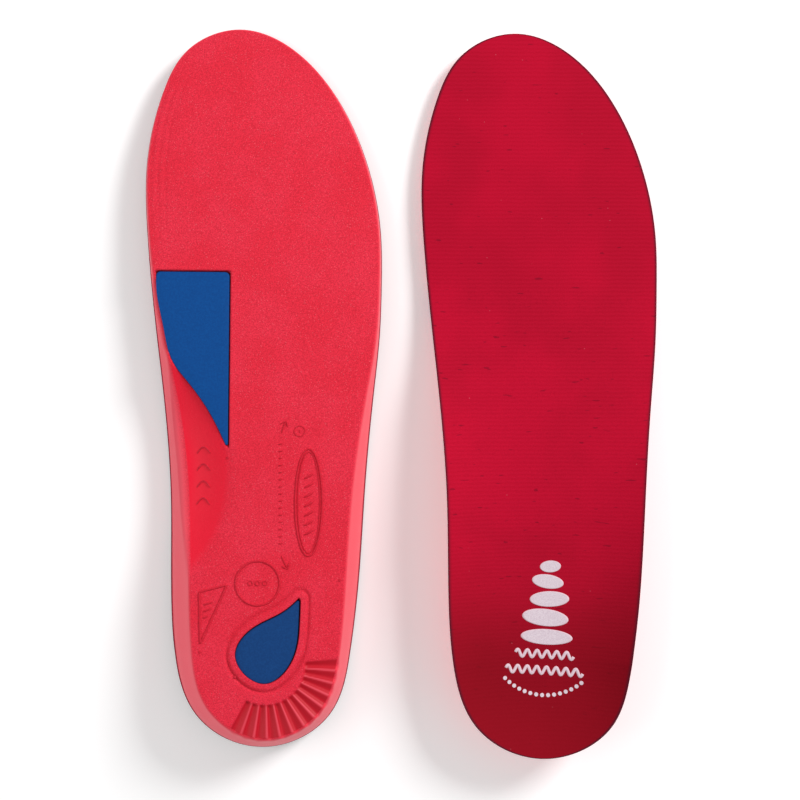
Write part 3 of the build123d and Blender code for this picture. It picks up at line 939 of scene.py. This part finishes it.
def brushed_knit():
    """Brushed polyester knit, dyed crimson: a short nap over faint courses, a little sheen, stray
    pale lint and dark fibres, and a dark cut edge. Painted shade darkens it down in the heel cup.
    The courses are drawn 1.5 mm apart, coarser than the real thread, so that they show."""
    material, tree, place = start_material("brushed_knit_cover")
    names = ("edge", "cup")
    on = {n: add(tree, "Attribute", {}, attribute_name=n).outputs["Fac"] for n in names}
    wave = {"Vector": place, "Scale": np.pi / 10 * grains(1.5), "Distortion": 2.0, "Detail": 2.0}
    course = add(tree, "TexWave", wave, bands_direction="Y").outputs["Fac"]
    fine = {"Vector": place, "Scale": grains(0.5), "Detail": 4.0, "Roughness": 0.7}
    nap = add(tree, "TexNoise", fine).outputs["Fac"]
    cloud = add(tree, "TexNoise", {"Vector": place, "Scale": grains(30.0)}).outputs["Fac"]
    lint = add(tree, "TexVoronoi", {"Vector": place, "Scale": grains(7.0)}).outputs["Distance"]
    inputs = {"Vector": place, "Rotation": (0.0, 0.0, 0.7), "Scale": (1.0, 4.0, 1.0)}
    stretched = add(tree, "Mapping", inputs).outputs["Vector"]
    hair = {"Vector": stretched, "Scale": grains(5.0), "Detail": 1.0}
    fibre = add(tree, "TexNoise", hair).outputs["Fac"]
    layers = [
        (cloud, 0.35, 0.68, 1.0, "BE0A2D"),
        (nap, 0.35, 0.7, 0.3, "8E0720"),
        (course, 0.0, 1.0, 0.12, "D01840"),
        (fibre, 0.71, 0.76, 0.5, "6A0A20"),
        # Painted shade: the cloth is drawn darker down in the heel cup.
        (on["cup"], 0.0, 1.0, 0.8, "7C0814"),
        (lint, 0.03, 0.012, 0.4, "D98494"),
        (on["edge"], 0.0, 1.0, 0.78, "3E1626"),
    ]
    colour = tinted(tree, linear("B20929"), layers)
    inputs = {"Value": nap, "From Min": 0.2, "From Max": 0.8, "To Min": 0.82, "To Max": 0.95}
    roughness = add(tree, "MapRange", inputs).outputs["Result"]
    inputs = {0: course, 1: 0.35, 2: nap}
    height = add(tree, "Math", inputs, operation="MULTIPLY_ADD").outputs["Value"]
    constants = {"Sheen Weight": 0.05, "Sheen Roughness": 0.5, "Sheen Tint": linear("FF5A78")}
    constants["Specular IOR Level"] = 0.08
    finish_material(tree, colour, roughness, height, 0.35, 0.2, **constants)
    return material


def open_cell_foam():
    """Open-cell polyurethane foam under the cover: dark red, seen only as a thin rough edge."""
    material, tree, place = start_material("open_cell_backing")
    cells = add(tree, "TexVoronoi", {"Vector": place, "Scale": grains(0.5)}).outputs["Distance"]
    colour = tinted(tree, linear("8E1730"), [(cells, 0.1, 0.6, 1.0, "B4233F")])
    finish_material(tree, colour, 0.9, cells, 0.5, 0.15, **{"Specular IOR Level": 0.2})
    return material


def plug_foam(name, deep, light):
    """Softer moulded foam: an even, satin blue skin with very fine grain."""
    material, tree, place = start_material(name)
    fine = {"Vector": place, "Scale": grains(0.7), "Detail": 3.0, "Roughness": 0.6}
    grain = add(tree, "TexNoise", fine).outputs["Fac"]
    colour = tinted(tree, linear(deep), [(grain, 0.35, 0.7, 1.0, light)])
    inputs = {"Value": grain, "From Min": 0.3, "From Max": 0.7, "To Min": 0.52, "To Max": 0.62}
    roughness = add(tree, "MapRange", inputs).outputs["Result"]
    finish_material(tree, colour, roughness, grain, 0.2, 0.12, **{"Specular IOR Level": 0.15})
    return material


def screen_ink():
    """Screen-printed ink: a matt pale grey film that shows the nap under it and bleeds pink at its
    rim."""
    material, tree, place = start_material("screen_ink")
    rim = add(tree, "Attribute", {}, attribute_name="rim").outputs["Fac"]
    fine = {"Vector": place, "Scale": grains(0.5), "Detail": 4.0, "Roughness": 0.7}
    nap = add(tree, "TexNoise", fine).outputs["Fac"]
    layers = [(nap, 0.3, 0.75, 1.0, "D0BECA"), (rim, 0.0, 1.0, 0.75, "F1B9C6")]
    colour = tinted(tree, linear("E4D6DE"), layers)
    finish_material(tree, colour, 0.75, nap, 0.3, 0.15, **{"Specular IOR Level": 0.2})
    return material


def studio_white():
    """White acrylic on a light table: matt, and faintly lit from below."""
    material, tree, place = start_material("studio_white")
    soft = add(tree, "TexNoise", {"Vector": place, "Scale": grains(400.0)}).outputs["Fac"]
    glow = {"Emission Color": linear("FFFFFF"), "Emission Strength": 0.16}
    finish_material(tree, linear("FAFAFA"), 0.9, soft, 0.0, 0.1, **glow)
    return material


# ---- making the pair ------------------------------------------------------------------------------
FINISH = {
    "foam_shell": moulded_foam(),
    "cushion_backing": open_cell_foam(),
    "top_cover": brushed_knit(),
    "first_ray_plug": plug_foam("soft_blue_foam", "004387", "014B92"),
    "heel_plug": plug_foam("soft_deep_blue_foam", "0B3A72", "0F427D"),
    "print": screen_ink(),
}


def finish_piece(piece, slot, *nodes):
    """Gives a piece the material of its finish and hides the CAD nodes it stands for."""
    piece.data.materials.append(FINISH[slot])
    if nodes:
        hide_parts(*nodes)


def flex_points(side):
    """Where the bend at the ball of the foot starts and ends, from the toe joint."""
    joint = next(j for j in frame["joints"] if j["name"] == side + "_toe_flex")
    at, axis = np.array(joint["pos_m"]), np.array(joint["axis"])
    ahead = np.cross(FRAMES[side][1][2], axis)
    ahead /= np.linalg.norm(ahead)
    return at - ahead * FLEX_BEFORE * MM, at + ahead * FLEX_AFTER * MM


def cover_area():
    """Flat area of the cover in square metres: half the sum of x dy less y dx round its outline."""
    x, y = RIM(np.linspace(0, 1, 400, endpoint=False)).T
    return abs((x * np.roll(y, -1) - y * np.roll(x, -1)).sum()) / 2 * MM**2


# The cover is cut from a piece as wide as the outline and as long as the dished top, with a little
# over, and the dish of the cup and arch adds 3% to the outline's area.
for side in SIDES:
    shell = make_shell(side)
    backing = make_layer("backing", side, FABRIC, FABRIC + BACKING, 0.05, HIDDEN_COLUMNS)
    cover = make_layer("cover", side, 0.0, FABRIC, 0.14, COVER_COLUMNS)
    start, end = flex_points(side)
    for piece, node in ((shell, "foam_shell"), (backing, "cushion_backing"), (cover, "top_cover")):
        finish_piece(piece, node, f"{side}_{node}", f"{side}_{node}_toe")
        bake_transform(piece)
    cover_area() * 1.03

    ray = make_plug("ray_plug", side, ray_outline(RAY_RADII), RAY_DEPTH)
    finish_piece(ray, "first_ray_plug", side + "_first_ray_plug")
    heel = make_plug("heel_plug_pad", side, heel_outline(HEEL_RADII), HEEL_DEPTH)
    finish_piece(heel, "heel_plug", side + "_heel_plug")
    marks = make_marks(side)
    finish_piece(marks, "foam_shell")
    ink = make_print(side)
    finish_piece(ink, "print", side + "_heel_print")
    for piece in (ray, heel, marks, ink):
        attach(piece, side + "_insole")

# ---- floor, light and camera ----------------------------------------------------------------------
FLOOR_HALF, FLOOR_TOP = 3.0, -0.0004
floor_mesh = bpy.data.meshes.new("floor")
corners = [(FLOOR_HALF * x, FLOOR_HALF * y, FLOOR_TOP) for x, y in ((-1, -1), (1, -1), (1, 1), (-1, 1))]
floor_mesh.from_pydata(corners, [], [(0, 1, 2, 3)])
floor = bpy.data.objects.new("floor", floor_mesh)
bpy.context.scene.collection.objects.link(floor)
floor_mesh.materials.append(studio_white())

scene = bpy.context.scene
scene.view_settings.view_transform = "Standard"
world = bpy.data.worlds.new("soft_studio")
world.use_nodes = True
sky = world.node_tree.nodes["Background"].inputs
sky["Color"].default_value = (1.0, 1.0, 1.0, 1.0)
sky["Strength"].default_value = 0.45
scene.world = world


def soft_light(name, place, size, power):
    """A square soft light that points at the middle of the pair."""
    lamp = bpy.data.lights.new(name, "AREA")
    lamp.shape, lamp.size, lamp.energy = "SQUARE", size, power
    thing = bpy.data.objects.new(name, lamp)
    thing.location = place
    thing.rotation_euler = (-Vector(place)).to_track_quat("-Z", "Y").to_euler()
    scene.collection.objects.link(thing)


soft_light("key_light", (0.85, 0.65, 0.72), 0.4, 13.5)
soft_light("fill_light", (-0.9, 0.0, 0.7), 0.8, 3.2)

CAMERA_PLACE, CAMERA_LENS = (-0.001, -0.0039, 0.55), 66.3  # x from the middle of the pair
lens = bpy.data.cameras.new("camera")
lens.lens = CAMERA_LENS
camera = bpy.data.objects.new("camera", lens)
middle = (FRAMES["right"][0] + FRAMES["left"][0]) / 2
camera.location = (middle[0] + CAMERA_PLACE[0], *CAMERA_PLACE[1:])
scene.collection.objects.link(camera)
scene.camera = camera
